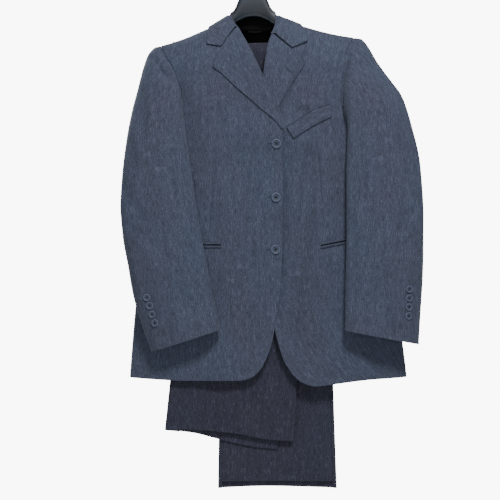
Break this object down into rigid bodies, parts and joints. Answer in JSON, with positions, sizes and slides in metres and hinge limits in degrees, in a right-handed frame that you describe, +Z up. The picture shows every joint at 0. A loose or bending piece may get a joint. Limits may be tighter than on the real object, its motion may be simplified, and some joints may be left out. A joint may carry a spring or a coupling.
{
  "type": "suit on a hanger",
  "caption": "Single-breasted wool suit jacket with notched lapels and its trousers, hung on a broad plastic hanger with a wire hook.",
  "frame": {"origin": "the inner top of the hook, where the rail carries the hanger", "axes": "+Z up, +X towards the wearer's left, +Y from the front of the suit to its back"},
  "size_m": [0.6254, 0.1373, 1.1221],
  "materials": {
    "jacket_cloth": "slate blue heathered wool cloth, matt",
    "trouser_cloth": "slate blue heathered wool cloth, matt",
    "lining": "black woven lining, faint sheen",
    "buttons": "grey-blue moulded buttons, satin",
    "hanger": "dark moulded plastic, satin",
    "hook": "plated steel wire"
  },
  "bodies": {
    "root": {"front_right": "jacket_cloth", "front_left": "jacket_cloth", "back_right": "jacket_cloth", "back_left": "jacket_cloth", "top_sleeve_right": "jacket_cloth", "under_sleeve_right": "jacket_cloth", "top_sleeve_left": "jacket_cloth", "under_sleeve_left": "jacket_cloth", "lapel_right": "jacket_cloth", "lapel_left": "jacket_cloth", "collar": "jacket_cloth", "jet_upper_right": "jacket_cloth", "jet_lower_right": "jacket_cloth", "jet_upper_left": "jacket_cloth", "jet_lower_left": "jacket_cloth", "breast_welt": "jacket_cloth", "neck_lining": "lining", "hanging_loop": "lining", "button_top": "buttons", "button_middle": "buttons", "button_bottom": "buttons", "cuff_button_right_1": "buttons", "cuff_button_right_2": "buttons", "cuff_button_right_3": "buttons", "cuff_button_right_4": "buttons", "cuff_button_left_1": "buttons", "cuff_button_left_2": "buttons", "cuff_button_left_3": "buttons", "cuff_button_left_4": "buttons", "trouser_right_front": "trouser_cloth", "trouser_right_back": "trouser_cloth", "trouser_left_front": "trouser_cloth", "trouser_left_back": "trouser_cloth", "waistband": "trouser_cloth", "hanger": "hanger", "hook": "hook"}
  },
  "joints": []
}
